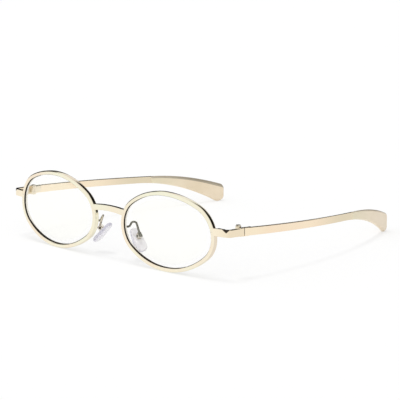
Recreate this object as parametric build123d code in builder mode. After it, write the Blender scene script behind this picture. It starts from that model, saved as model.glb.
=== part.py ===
from build123d import *
import math
import os

# Oval wire-rimmed eyeglasses standing open on a table, in millimetres.
# +X is the wearer's left, -Y is the front, +Z is up. The origin is on the table,
# midway between the two sides and midway between the bridge and the temple tips.
# Every piece is made for the +X side, and its twin is mirrored about the YZ plane.

# Whole frame
overall_depth = 138.1
front_y = -overall_depth / 2
cut_overrun = 2.0
seat_clearance = 0.05

# Rims: an oval of eight arcs, bent to the curve of the lenses
rim_gap = 17.0
rim_half_width = 27.7
rim_half_height = 18.3
rim_centre_x = rim_gap / 2 + rim_half_width
rim_band = 2.1
rim_depth = 2.45
rim_edge_round = 0.5
upper_outer_radius_share = 0.863
upper_inner_radius_share = 0.760
lower_inner_radius_share = 0.749
lower_outer_radius_share = 0.716
rim_wrap_degrees = 3.45
lens_curve_radius = 167.0
lens_bulge = 0.23
groove_depth = 0.5
groove_width = 1.0
rim_split_width = 0.25

# Lenses
lens_thickness = 1.8
lens_setback = 0.35

# Bridge
bridge_lap = 2.3
bridge_rise = 7.0
bridge_height = 2.6
bridge_thickness = 2.2
bridge_setback = 0.4
bridge_top_drop = 0.75
bridge_under_drop = 1.05
bridge_round = 0.25
bridge_half_length = rim_gap / 2 + bridge_lap
bridge_top_z = rim_half_height + bridge_rise

# End pieces: a strip bent back from the rim to the hinge
end_strip_thickness = 1.4
end_bend_radius = 3.0
end_rake_degrees = 11.0
end_rise = 5.3
end_reach = 6.9
end_front_height = 3.35
end_edge_round = 0.3
slit_setback = 15.3
slit_gap = 0.3
head_length = 2.4
head_proud = 0.12
side_x = rim_centre_x + rim_half_width + end_reach
end_front_top_z = rim_half_height + end_rise

# Hinges
hinge_inset = 3.1
hinge_lead = 0.4
barrel_radius = 1.3
barrel_proud = 0.4
knuckle_height = 1.3
knuckle_gap = 0.06
leaf_thickness = 0.6
front_leaf_length = 4.6
temple_leaf_length = 5.4
leaf_top_margin = 0.45
turning_clearance = 0.12
hinge_pin_radius = 0.6
hinge_pin_clearance = 0.03
hinge_head_radius = 1.1
hinge_head_height = 0.55
screw_slot_width = 0.28
screw_slot_depth = 0.25

# Closing blocks behind the end pieces, which pull the rims shut on the lenses
block_length = 3.2
block_depth = 2.5
block_height = 2.2
block_gap = 0.25
block_round = 0.5
closing_screw_radius = 0.5
closing_head_radius = 0.85
closing_head_height = 0.45
closing_screw_inset = 1.7

# Temples: a flat bar bowed outwards, that drops into the tip
temple_thickness = 1.3
temple_bow_radius = 272.0
temple_bow_setback = 44.7
temple_drop = 0.5
temple_height = 3.75
top_bend_setback = 98.7
top_bend_z = 17.17
under_bend_setback = 87.7
under_bend_z = 14.55
temple_edge_round = 0.25
temple_top_z = end_front_top_z - temple_drop

# Tips: plastic sleeves over the ends of the temples
sleeve_setback = 95.2
sleeve_mouth_outer = 0.2
sleeve_mouth_inner = 0.5
sleeve_end_outer = 0.35
sleeve_end_inner = 1.3
sleeve_round = 0.85
heel_radius = 3.1
crown_radius = 2.7
crown_centre_z = 6.8
core_height = 2.0
core_thickness = 0.8
core_bite = 3.0
core_mid_setback = 110.0
core_mid_z = 13.1
core_end_setback = 124.0
core_end_z = 9.0

# Nose pads: clear drops, each held by a boss in a metal box
pad_centre_reach = 3.2
pad_centre_setback = 8.3
pad_centre_drop = 8.6
pad_top_rise_share = 0.735
pad_top_inward_share = 0.65
pad_top_back_share = 0.17
pad_splay_degrees = 13.0
pad_length = 12.8
pad_foot_radius = 3.35
pad_crown_radius = 2.6
pad_thickness = 1.8
pad_round = 0.75
boss_rise = 0.9
boss_width = 1.2
boss_length = 1.4
boss_height = 1.9
box_wall = 0.3
box_side_gap = 0.1
box_end_gap = 0.25
box_roof_gap = 0.2
box_lift = 0.4
box_round = 0.25
pad_pin_radius = 0.3
pad_pin_height = 1.25
pad_pin_clearance = 0.03
pad_pin_head_radius = 0.5
pad_pin_head_height = 0.25
pad_slot_width = 0.17
pad_slot_depth = 0.15

# Nose pad arms: wire bent from the back of the rim over to the box. Each corner's reach is
# from the rim's inner end, and its rise from the rim's middle
arm_wire_radius = 0.5
arm_root_reach = 1.1
arm_root_setback = 2.2
arm_root_rise = -1.85
arm_low_reach = 1.2
arm_low_setback = 4.9
arm_low_rise = -2.0
arm_high_reach = 1.1
arm_high_setback = 7.2
arm_high_rise = 0.7
arm_over_reach = 2.7
arm_over_setback = 7.9
arm_over_rise = -0.7
arm_bend_radius = 1.4


def sag(radius, reach):
    return radius - math.sqrt(radius**2 - reach**2)


def at_setback(setback):
    return front_y + setback


# The lens plane of the +X side: x outwards along the lens, y up, z forwards
wrap = math.radians(rim_wrap_degrees)
lens_plane = Plane(
    origin=(rim_centre_x, front_y - lens_bulge, rim_half_height),
    x_dir=(math.cos(wrap), math.sin(wrap), 0),
    z_dir=(math.sin(wrap), -math.cos(wrap), 0),
)
# The same centre seen from above: x outwards along the lens, y backwards
lens_section_plane = Plane(origin=lens_plane.origin, x_dir=lens_plane.x_dir, z_dir=(0, 0, 1))


def quarter_oval(half_width, half_height, end_radius, side, rise):
    # One quarter of the oval: an arc round each end, tangent to one over the top or under the foot
    top_radius = (half_width**2 - 2 * half_width * end_radius + half_height**2) / (
        2 * (half_height - end_radius)
    )
    end_centre = Vector(half_width - end_radius, 0)
    top_centre = Vector(0, half_height - top_radius)
    join = end_centre + (end_centre - top_centre).normalized() * end_radius
    turn = Vector(side, rise)
    half = (Vector(half_width, 0) + join - end_centre * 2).normalized() * end_radius + end_centre
    top_half = (Vector(0, half_height) + join - top_centre * 2).normalized() * top_radius + top_centre
    scaled = [Vector(p.X * turn.X, p.Y * turn.Y) for p in
              (Vector(half_width, 0), half, join, top_half, Vector(0, half_height))]
    ThreePointArc(scaled[0], scaled[1], scaled[2])
    ThreePointArc(scaled[2], scaled[3], scaled[4])


def oval(inset):
    # The rim's outline, drawn smaller by the inset all round
    with BuildSketch() as outline:
        with BuildLine():
            for radius_share, side, rise in (
                (upper_outer_radius_share, 1, 1),
                (upper_inner_radius_share, -1, 1),
                (lower_inner_radius_share, -1, -1),
                (lower_outer_radius_share, 1, -1),
            ):
                end_radius = rim_half_height * radius_share - inset
                quarter_oval(rim_half_width - inset, rim_half_height - inset, end_radius, side, rise)
        make_face()
    return outline.sketch


def curved_slab(setback, thickness):
    # A disc of even thickness bent to the lens curve, behind the lens plane by the setback
    reach = rim_half_width + cut_overrun
    front_radius = lens_curve_radius - setback
    back_radius = front_radius - thickness
    front_rim = (reach, lens_curve_radius - math.sqrt(front_radius**2 - reach**2))
    back_rim = (reach, lens_curve_radius - math.sqrt(back_radius**2 - reach**2))
    with BuildPart() as slab:
        with BuildSketch(lens_section_plane):
            with BuildLine():
                RadiusArc((0, setback), front_rim, -front_radius)
                Line(front_rim, back_rim)
                RadiusArc(back_rim, (0, setback + thickness), back_radius)
                Line((0, setback + thickness), (0, setback))
            make_face()
        revolve(axis=Axis(lens_plane.origin, -lens_plane.z_dir))
    return slab.part


def through_oval(inset):
    # A straight plug with the rim's outline, longer than the rim is deep
    with BuildPart() as plug:
        with BuildSketch(lens_plane):
            add(oval(inset))
        extrude(amount=rim_depth * 4, both=True)
    return plug.part


def upright_cylinder(x, y, foot_z, top_z, radius):
    with BuildPart() as post:
        with BuildSketch(Plane.XY.offset(foot_z)):
            with Locations((x, y)):
                Circle(radius)
        extrude(amount=top_z - foot_z)
    return post.part


def upright_block(x_range, y_range, foot_z, top_z):
    with BuildPart() as block:
        with BuildSketch(Plane.XY.offset(foot_z)):
            with Locations(((x_range[0] + x_range[1]) / 2, (y_range[0] + y_range[1]) / 2)):
                Rectangle(x_range[1] - x_range[0], y_range[1] - y_range[0])
        extrude(amount=top_z - foot_z)
    return block.part


# Rim: a ring bent to the lens curve, with rounded edges and a groove for the lens
groove_setback = (rim_depth - groove_width) / 2
with BuildPart() as rim:
    add(curved_slab(0, rim_depth))
    add(through_oval(0), mode=Mode.INTERSECT)
    add(through_oval(rim_band), mode=Mode.SUBTRACT)
    fillet(rim.edges().filter_by(GeomType.LINE, reverse=True), rim_edge_round)

with BuildPart() as groove:
    add(curved_slab(groove_setback, groove_width))
    add(through_oval(rim_band - groove_depth), mode=Mode.INTERSECT)

# The cut that lets the rim open, level with the middle of the end piece
split_z = end_front_top_z - end_front_height / 2
with BuildPart() as rim_left:
    add(rim.part)
    add(groove.part, mode=Mode.SUBTRACT)
    with BuildSketch(lens_plane):
        with Locations((rim_half_width, split_z - rim_half_height)):
            Rectangle((rim_band + cut_overrun) * 2, rim_split_width)
    extrude(amount=rim_depth * 4, both=True, mode=Mode.SUBTRACT)

# Lens: a bent slab whose edge carries a tongue that sits in the rim's groove
with BuildPart() as tongue:
    add(curved_slab(groove_setback + seat_clearance, groove_width - seat_clearance * 2))
    add(through_oval(rim_band - groove_depth + seat_clearance), mode=Mode.INTERSECT)

with BuildPart() as lens_left:
    add(curved_slab(lens_setback, lens_thickness))
    add(through_oval(rim_band + seat_clearance), mode=Mode.INTERSECT)
    add(tongue.part)

rim_twin = mirror(rim.part, about=Plane.YZ)

# Bridge: an arched bar, let into the outer walls of both rims and lapped on their faces
with BuildPart() as bridge:
    with BuildSketch(Plane.XZ.offset(-at_setback(bridge_setback))):
        end_top_z = bridge_top_z - bridge_top_drop
        end_under_z = bridge_top_z - bridge_height - bridge_under_drop
        with BuildLine():
            ThreePointArc(
                (-bridge_half_length, end_top_z), (0, bridge_top_z), (bridge_half_length, end_top_z)
            )
            Line((bridge_half_length, end_top_z), (bridge_half_length, end_under_z))
            ThreePointArc(
                (bridge_half_length, end_under_z),
                (0, bridge_top_z - bridge_height),
                (-bridge_half_length, end_under_z),
            )
            Line((-bridge_half_length, end_under_z), (-bridge_half_length, end_top_z))
        make_face()
    extrude(amount=-bridge_thickness)
    fillet(bridge.edges(), bridge_round)
    add(rim.part, mode=Mode.SUBTRACT)
    add(rim_twin, mode=Mode.SUBTRACT)

# End piece: a strip that carries on from the rim's face, bends back and runs to the hinge slit
rim_end = lens_plane.from_local_coords(
    (rim_half_width, end_front_top_z - rim_half_height, -sag(lens_curve_radius, rim_half_width))
)
rake = math.radians(end_rake_degrees)
bend_y = rim_end.Y + (side_x - rim_end.X) * math.tan(rake)
slit_y = at_setback(slit_setback)
strip_start = (rim_end.X - rim_band, rim_end.Y - rim_band * math.tan(rake))
strip_bend = (side_x, bend_y)
strip_end = (side_x, slit_y)
side_inner_x = side_x - end_strip_thickness
end_foot_z = end_front_top_z - end_front_height
with BuildPart() as end_piece_left:
    with BuildSketch():
        with BuildLine():
            strip_line = FilletPolyline(strip_start, strip_bend, strip_end, radius=end_bend_radius)
            offset(strip_line, amount=end_strip_thickness, side=Side.LEFT)
        make_face()
    extrude(amount=temple_top_z * 2)
    with BuildSketch(Plane.YZ):
        with BuildLine():
            Polyline(
                (rim_end.Y - rim_depth, end_foot_z),
                (rim_end.Y - rim_depth, end_front_top_z),
                (slit_y, temple_top_z),
                (slit_y, temple_top_z - temple_height),
                close=True,
            )
        make_face()
    extrude(amount=side_x * 2, mode=Mode.INTERSECT)
    fillet(end_piece_left.edges().filter_by(Axis.Z, reverse=True), end_edge_round)
    add(upright_block((side_inner_x, side_x + head_proud), (slit_y - head_length, slit_y),
                      temple_top_z - temple_height - head_proud, temple_top_z + head_proud))
    add(through_oval(0), mode=Mode.SUBTRACT)

# Temple: the band between two arcs seen from above, cut to its outline seen from the side
temple_start_y = at_setback(slit_setback + slit_gap)
bow_y = at_setback(temple_bow_setback)
bow_centre_x = side_x + sag(temple_bow_radius, temple_bow_setback - slit_setback) - temple_bow_radius
tip_end_y = at_setback(overall_depth)
mouth_y = at_setback(sleeve_setback)


def bow_x(y, inset):
    # How far out the temple's outer face is at a depth y, moved inwards by the inset
    return bow_centre_x + math.sqrt((temple_bow_radius - inset) ** 2 - (y - bow_y) ** 2)


def bowed_band(start_y, end_y, start_insets, end_insets):
    # A band seen from above, between an outer and an inner arc, as high as the frame
    middle_y = (start_y + end_y) / 2
    with BuildPart() as band:
        with BuildSketch():
            with BuildLine():
                corners = []
                for k in (0, 1):
                    middle_inset = (start_insets[k] + end_insets[k]) / 2
                    corners.append((
                        (bow_x(start_y, start_insets[k]), start_y),
                        (bow_x(middle_y, middle_inset), middle_y),
                        (bow_x(end_y, end_insets[k]), end_y),
                    ))
                outer, inner = corners
                ThreePointArc(*outer)
                Line(outer[2], inner[2])
                ThreePointArc(*reversed(inner))
                Line(inner[0], outer[0])
            make_face()
        extrude(amount=rim_half_height * 2)
    return band.part


def tangent_radius(start, slope, centre, radius, inside):
    # The radius of the arc that leaves a falling line at the start and touches a given circle
    down = Vector(-math.sin(slope), -math.cos(slope))
    gap = start - centre
    touch = radius if not inside else -radius
    return (gap.dot(gap) - radius**2) / (2 * (touch - down.dot(gap)))


def temple_outline():
    # The side view of temple and tip: straight edges, then arcs down to the crown and the heel
    top_start = Vector(temple_start_y, temple_top_z)
    top_bend = Vector(at_setback(top_bend_setback), top_bend_z)
    under_start = Vector(temple_start_y, temple_top_z - temple_height)
    under_bend = Vector(at_setback(under_bend_setback), under_bend_z)
    heel = Vector(tip_end_y - heel_radius, heel_radius)
    crown = Vector(tip_end_y - crown_radius, crown_centre_z)
    top_slope = math.atan2(top_start.Y - top_bend.Y, top_bend.X - top_start.X)
    under_slope = math.atan2(under_start.Y - under_bend.Y, under_bend.X - under_start.X)
    under_down = Vector(-math.sin(under_slope), -math.cos(under_slope))
    top_down = Vector(-math.sin(top_slope), -math.cos(top_slope))
    under_radius = tangent_radius(under_bend, under_slope, heel, heel_radius, False)
    top_radius = tangent_radius(top_bend, top_slope, crown, crown_radius, True)
    under_centre = under_bend + under_down * under_radius
    top_centre = top_bend + top_down * top_radius
    heel_touch = heel + (under_centre - heel).normalized() * heel_radius
    crown_touch = crown + (crown - top_centre).normalized() * crown_radius
    with BuildSketch(Plane.YZ) as outline:
        with BuildLine():
            Line(top_start, top_bend)
            TangentArc(top_bend, crown_touch, tangent=top_bend - top_start)
            RadiusArc(crown_touch, (tip_end_y, crown.Y), crown_radius)
            Line((tip_end_y, crown.Y), (tip_end_y, heel.Y))
            RadiusArc((tip_end_y, heel.Y), (heel.X, 0), heel_radius)
            RadiusArc((heel.X, 0), heel_touch, heel_radius)
            TangentArc(under_bend, heel_touch, tangent=under_bend - under_start)
            Line(under_bend, under_start)
            Line(under_start, top_start)
        make_face()
    return outline.sketch


def core_slot(clearance):
    # The side view of the metal core inside the tip: a slot along an arc
    bite_y = mouth_y - core_bite
    bar_fall = (temple_top_z - top_bend_z) / (top_bend_setback - slit_setback - slit_gap)
    mouth_z = temple_top_z - temple_height / 2 - bar_fall * (bite_y - temple_start_y)
    with BuildSketch(Plane.YZ) as slot:
        with BuildLine() as centre_line:
            ThreePointArc(
                (bite_y, mouth_z),
                (at_setback(core_mid_setback), core_mid_z),
                (at_setback(core_end_setback), core_end_z),
            )
        SlotArc(centre_line.edge(), core_height + clearance * 2)
    return slot.sketch


core_inset = (temple_thickness - core_thickness) / 2
with BuildPart() as core:
    extrude(core_slot(0), amount=side_x * 2)
    add(
        bowed_band(mouth_y - core_bite * 2, tip_end_y, (core_inset, core_inset + core_thickness),
                   (core_inset, core_inset + core_thickness)),
        mode=Mode.INTERSECT,
    )

with BuildPart() as core_space:
    extrude(core_slot(seat_clearance), amount=side_x * 2)
    near = core_inset - seat_clearance
    far = core_inset + core_thickness + seat_clearance
    add(bowed_band(mouth_y - core_bite * 2, tip_end_y, (near, far), (near, far)), mode=Mode.INTERSECT)

head_outline = offset(temple_outline(), amount=head_proud)
with BuildPart() as temple_head:
    extrude(head_outline, amount=side_x * 2)
    add(
        bowed_band(temple_start_y, temple_start_y + head_length, (-head_proud, temple_thickness),
                   (-head_proud, temple_thickness)),
        mode=Mode.INTERSECT,
    )

with BuildPart() as temple_left:
    extrude(temple_outline(), amount=side_x * 2)
    add(
        bowed_band(temple_start_y, mouth_y, (0, temple_thickness), (0, temple_thickness)),
        mode=Mode.INTERSECT,
    )
    fillet(
        temple_left.edges().filter_by(GeomType.LINE, reverse=True), temple_edge_round
    )
    add(core.part)
    add(temple_head.part)

with BuildPart() as temple_tip_left:
    extrude(temple_outline(), amount=side_x * 2)
    add(
        bowed_band(
            mouth_y,
            tip_end_y,
            (-sleeve_mouth_outer, temple_thickness + sleeve_mouth_inner),
            (-sleeve_end_outer, temple_thickness + sleeve_end_inner),
        ),
        mode=Mode.INTERSECT,
    )
    fillet(
        temple_tip_left.edges().filter_by_position(Axis.Y, mouth_y, tip_end_y, inclusive=(False, True)),
        sleeve_round,
    )
    add(core_space.part, mode=Mode.SUBTRACT)

# Hinge: two knuckles on the end piece and one on the temple, round an upright pin
hinge_x = side_x - hinge_inset
hinge_y = slit_y - hinge_lead
barrel_top_z = temple_top_z + barrel_proud
barrel_foot_z = barrel_top_z - 3 * knuckle_height - 2 * knuckle_gap
lower_top_z = barrel_foot_z + knuckle_height
middle_foot_z = lower_top_z + knuckle_gap
middle_top_z = barrel_top_z - knuckle_height - knuckle_gap
upper_foot_z = barrel_top_z - knuckle_height
leaf_inner_x = side_inner_x - leaf_thickness
web_end_x = leaf_inner_x + leaf_thickness / 2
leaf_foot_z = temple_top_z - temple_height + leaf_top_margin
leaf_top_z = temple_top_z - leaf_top_margin
pin_bore = upright_cylinder(
    hinge_x, hinge_y, barrel_foot_z - cut_overrun, barrel_top_z + cut_overrun,
    hinge_pin_radius + hinge_pin_clearance,
)
turning_radius = barrel_radius + turning_clearance

with BuildPart() as front_hinge_left:
    add(upright_block((leaf_inner_x, side_inner_x), (slit_y - front_leaf_length, slit_y),
                      leaf_foot_z, leaf_top_z))
    for foot_z, top_z in ((barrel_foot_z, lower_top_z), (upper_foot_z, barrel_top_z)):
        add(upright_cylinder(hinge_x, hinge_y, foot_z, top_z, barrel_radius))
        add(upright_block((hinge_x, side_inner_x), (hinge_y - barrel_radius, hinge_y),
                          foot_z, top_z))
    add(upright_cylinder(hinge_x, hinge_y, lower_top_z, upper_foot_z, turning_radius),
        mode=Mode.SUBTRACT)
    add(upright_block((hinge_x, side_inner_x), (hinge_y - turning_clearance, slit_y),
                      lower_top_z, upper_foot_z), mode=Mode.SUBTRACT)
    add(pin_bore, mode=Mode.SUBTRACT)

with BuildPart() as temple_hinge_left:
    add(upright_block((leaf_inner_x, side_x), (temple_start_y, temple_start_y + temple_leaf_length),
                      leaf_foot_z, leaf_top_z))
    for foot_z, top_z in ((barrel_foot_z, middle_foot_z), (middle_top_z, barrel_top_z)):
        add(upright_cylinder(hinge_x, hinge_y, foot_z, top_z, turning_radius), mode=Mode.SUBTRACT)
    add(upright_cylinder(hinge_x, hinge_y, middle_foot_z, middle_top_z, barrel_radius))
    add(upright_block((hinge_x, web_end_x), (hinge_y, hinge_y + barrel_radius),
                      middle_foot_z, middle_top_z))
    add(pin_bore, mode=Mode.SUBTRACT)
    add(temple_left.part, mode=Mode.SUBTRACT)

# Hinge screw: a straight pin with a slotted head on top of the upper knuckle
with BuildPart() as hinge_screw_left:
    add(upright_cylinder(hinge_x, hinge_y, barrel_foot_z, barrel_top_z, hinge_pin_radius))
    add(upright_cylinder(hinge_x, hinge_y, barrel_top_z, barrel_top_z + hinge_head_height,
                         hinge_head_radius))
    add(upright_block((hinge_x - screw_slot_width / 2, hinge_x + screw_slot_width / 2),
                      (hinge_y - hinge_head_radius * 2, hinge_y + hinge_head_radius * 2),
                      barrel_top_z + hinge_head_height - screw_slot_depth,
                      barrel_top_z + hinge_head_height + cut_overrun), mode=Mode.SUBTRACT)

# Closing block: two halves behind the end piece, one on each side of the rim's cut
block_start_x = rim_end.X - rim_band
block_end_x = rim_end.X + block_length
block_front_y = rim_end.Y + end_strip_thickness
block_back_y = block_front_y + block_depth
screw_x = block_end_x - closing_screw_inset
screw_y = block_back_y - block_depth / 2
block_foot_z = split_z - block_height / 2
block_top_z = split_z + block_height / 2
closing_bore = upright_cylinder(screw_x, screw_y, block_foot_z - cut_overrun,
                                block_top_z + cut_overrun,
                                closing_screw_radius + hinge_pin_clearance)


def block_half(foot_z, top_z):
    with BuildPart() as half:
        add(upright_block((block_start_x, block_end_x), (block_front_y, block_back_y), foot_z, top_z))
        fillet(half.edges().filter_by(Axis.Z).group_by(Axis.Y)[-1], block_round)
        add(through_oval(0), mode=Mode.SUBTRACT)
        add(end_piece_left.part, mode=Mode.SUBTRACT)
        add(closing_bore, mode=Mode.SUBTRACT)
    return half.part


closing_block_upper = block_half(split_z + block_gap / 2, block_top_z)
closing_block_lower = block_half(block_foot_z, split_z - block_gap / 2)

# Closing screw: its slotted head is under the lower half
with BuildPart() as closing_screw:
    add(upright_cylinder(screw_x, screw_y, block_foot_z, block_top_z, closing_screw_radius))
    add(upright_cylinder(screw_x, screw_y, block_foot_z - closing_head_height, block_foot_z,
                         closing_head_radius))
    add(upright_block((screw_x - screw_slot_width / 2, screw_x + screw_slot_width / 2),
                      (screw_y - closing_head_radius * 2, screw_y + closing_head_radius * 2),
                      block_foot_z - closing_head_height - cut_overrun,
                      block_foot_z - closing_head_height + screw_slot_depth), mode=Mode.SUBTRACT)

# The pad plane lies in the middle of the pad: x backwards, y up its length, z away from the nose
pad_centre = Vector(rim_gap / 2 + pad_centre_reach, at_setback(pad_centre_setback),
                    rim_half_height - pad_centre_drop)
pad_up = Vector(-pad_top_inward_share, pad_top_back_share, pad_top_rise_share).normalized()
splay = math.radians(pad_splay_degrees)
level_out = Vector(math.cos(splay), -math.sin(splay), 0)
pad_out = (level_out - Vector(0, 0, level_out.dot(pad_up) / pad_up.Z)).normalized()
pad_plane = Plane(origin=pad_centre, x_dir=pad_up.cross(pad_out), z_dir=pad_out)
# The boss, its box and their pin sit a little above the middle of the pad
boss_plane = Plane(origin=pad_plane.from_local_coords((0, boss_rise, 0)),
                   x_dir=pad_plane.x_dir, z_dir=pad_out)
boss_foot = pad_thickness / 2
pad_pin_rise = boss_foot + pad_pin_height
box_foot = boss_foot + box_lift
box_top = boss_foot + boss_height + box_roof_gap + box_wall
box_inner_width = boss_width + box_side_gap * 2
box_inner_length = boss_length + box_end_gap * 2
box_width = box_inner_width + box_wall * 2
box_length = box_inner_length + box_wall * 2
pin_plane = Plane(origin=boss_plane.offset(pad_pin_rise).origin, z_dir=pad_plane.x_dir)

# Nose pad: a drop-shaped plate with rounded edges and a bored boss on its back
with BuildPart() as nose_pad:
    with BuildSketch(pad_plane):
        with Locations((0, pad_foot_radius - pad_length / 2)):
            Circle(pad_foot_radius)
        with Locations((0, pad_length / 2 - pad_crown_radius)):
            Circle(pad_crown_radius)
        make_hull()
    extrude(amount=pad_thickness / 2, both=True)
    fillet(nose_pad.edges(), pad_round)
    with BuildSketch(boss_plane):
        Rectangle(boss_width, boss_length)
    extrude(amount=boss_foot + boss_height)
    with BuildSketch(pin_plane):
        Circle(pad_pin_radius + pad_pin_clearance)
    extrude(amount=box_width, both=True, mode=Mode.SUBTRACT)

# Pad box: four walls and a roof round the boss, open towards the pad
with BuildPart() as box_block:
    with BuildSketch(boss_plane.offset(box_foot)):
        RectangleRounded(box_width, box_length, box_round)
    extrude(amount=box_top - box_foot)

with BuildPart() as pad_box:
    add(box_block.part)
    with BuildSketch(boss_plane.offset(box_foot)):
        Rectangle(box_inner_width, box_inner_length)
    extrude(amount=box_top - box_wall - box_foot, mode=Mode.SUBTRACT)
    with BuildSketch(pin_plane):
        Circle(pad_pin_radius + pad_pin_clearance)
    extrude(amount=box_width, both=True, mode=Mode.SUBTRACT)

# Pad screw: a pin across the box, with its slotted head on the box's front wall
with BuildPart() as pad_screw:
    with BuildSketch(pin_plane):
        Circle(pad_pin_radius)
    extrude(amount=box_width / 2, both=True)
    with BuildSketch(pin_plane.offset(-box_width / 2)):
        Circle(pad_pin_head_radius)
    extrude(amount=-pad_pin_head_height)
    with BuildSketch(pin_plane.offset(-box_width / 2 - pad_pin_head_height)):
        Rectangle(pad_slot_width, pad_pin_head_radius * 3)
    extrude(amount=pad_slot_depth, mode=Mode.SUBTRACT)


def arm_point(reach, setback, rise):
    # A corner of the arm: its reach is from the rim's inner end, its rise from the rim's middle
    return Vector(rim_gap / 2 + reach, at_setback(setback), rim_half_height + rise)


# Pad arm: a round wire from the rim's back, looping over to the roof of the box
arm_points = [
    arm_point(arm_root_reach, arm_root_setback, arm_root_rise),
    arm_point(arm_low_reach, arm_low_setback, arm_low_rise),
    arm_point(arm_high_reach, arm_high_setback, arm_high_rise),
    arm_point(arm_over_reach, arm_over_setback, arm_over_rise),
    boss_plane.offset(box_top - box_wall / 2).origin,
]
with BuildPart() as pad_arm:
    with BuildLine() as arm_line:
        FilletPolyline(*arm_points, radius=arm_bend_radius)
    with BuildSketch(Plane(origin=arm_line.line @ 0, z_dir=arm_line.line % 0)):
        Circle(arm_wire_radius)
    sweep(path=arm_line.line)
    add(rim.part, mode=Mode.SUBTRACT)
    add(box_block.part, mode=Mode.SUBTRACT)

bridge.part.label = "bridge"
left_pieces = {
    "rim": rim_left.part,
    "lens": lens_left.part,
    "end_piece": end_piece_left.part,
    "closing_block_upper": closing_block_upper,
    "closing_block_lower": closing_block_lower,
    "closing_screw": closing_screw.part,
    "front_hinge": front_hinge_left.part,
    "hinge_screw": hinge_screw_left.part,
    "temple_hinge": temple_hinge_left.part,
    "temple": temple_left.part,
    "temple_tip": temple_tip_left.part,
    "pad_arm": pad_arm.part,
    "pad_box": pad_box.part,
    "pad_screw": pad_screw.part,
    "nose_pad": nose_pad.part,
}

os.makedirs("parts", exist_ok=True)
export_step(bridge.part, "parts/bridge.step")
for name, piece in left_pieces.items():
    for side, shape in (("left", piece), ("right", mirror(piece, about=Plane.YZ))):
        shape.label = f"{name}_{side}"
        export_step(shape, f"parts/{shape.label}.step")
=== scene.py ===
import math
import bpy
import bmesh
import numpy as np
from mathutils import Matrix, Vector


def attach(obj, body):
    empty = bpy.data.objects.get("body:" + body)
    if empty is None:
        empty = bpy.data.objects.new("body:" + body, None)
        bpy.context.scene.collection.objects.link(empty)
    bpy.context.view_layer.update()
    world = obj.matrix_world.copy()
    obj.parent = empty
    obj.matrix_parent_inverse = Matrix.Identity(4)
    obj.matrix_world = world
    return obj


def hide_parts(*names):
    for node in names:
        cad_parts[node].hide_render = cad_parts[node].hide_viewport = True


# Oval eyeglasses: polished pale gold metal, clear lenses, tan temple tips
# Sizes are in millimetres and are turned into metres when a mesh is made
# Lengths in a look, which the nodes read, and in the studio are in metres
# The wearer's left half (+X) is worked out, and the right half is mirrored from it
mm = 0.001
sides = {"left": 1, "right": -1}

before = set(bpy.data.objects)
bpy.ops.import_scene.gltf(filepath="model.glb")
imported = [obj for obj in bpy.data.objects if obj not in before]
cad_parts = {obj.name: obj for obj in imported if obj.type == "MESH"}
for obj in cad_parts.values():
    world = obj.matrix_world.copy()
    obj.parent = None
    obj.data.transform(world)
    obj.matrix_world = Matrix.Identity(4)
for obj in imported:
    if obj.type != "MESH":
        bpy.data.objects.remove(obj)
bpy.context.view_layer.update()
print("frame loaded with", len(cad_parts), "nodes")

whole = {"depth": 138.1, "gap": 17.0, "endReach": 6.9}
frontY = -whole["depth"] / 2


# Camera at the photo's angle, which also holds for a square picture of any size
camera = {
    "azimuth": math.radians(43.28), "elevation": math.radians(11.43),
    "distance": 771.8, "target": (58.896, -69.35, 36.205), "lens": 159.6, "clip": (10, 50000),
}


def placeCamera(c):
    a, e = c["azimuth"], c["elevation"]
    back = Vector((math.sin(a) * math.cos(e), -math.cos(a) * math.cos(e), math.sin(e)))
    data = bpy.data.cameras.new("photoCamera")
    data.lens = c["lens"]
    data.clip_start, data.clip_end = (k * mm for k in c["clip"])
    eye = bpy.data.objects.new("photoCamera", data)
    eye.location = (Vector(c["target"]) + back * c["distance"]) * mm
    eye.rotation_euler = (-back).to_track_quat("-Z", "Y").to_euler()
    bpy.context.scene.collection.objects.link(eye)
    bpy.context.scene.camera = eye


placeCamera(camera)


# Shader maths: expressions on values add their own nodes
class Value:
    def __init__(self, graph, socket):
        self.graph = graph
        self.socket = socket

    def maths(self, operation, first, second):
        return self.graph.node("ShaderNodeMath", {"operation": operation}, {0: first, 1: second})

    def __add__(self, other):
        return self.maths("ADD", self, other)

    def __radd__(self, other):
        return self.maths("ADD", other, self)

    def __sub__(self, other):
        return self.maths("SUBTRACT", self, other)

    def __rsub__(self, other):
        return self.maths("SUBTRACT", other, self)

    def __mul__(self, other):
        return self.maths("MULTIPLY", self, other)

    def __rmul__(self, other):
        return self.maths("MULTIPLY", other, self)

    def __pow__(self, other):
        return self.maths("POWER", self, other)

    def size(self):
        return self.maths("ABSOLUTE", self, 0.0)


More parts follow.
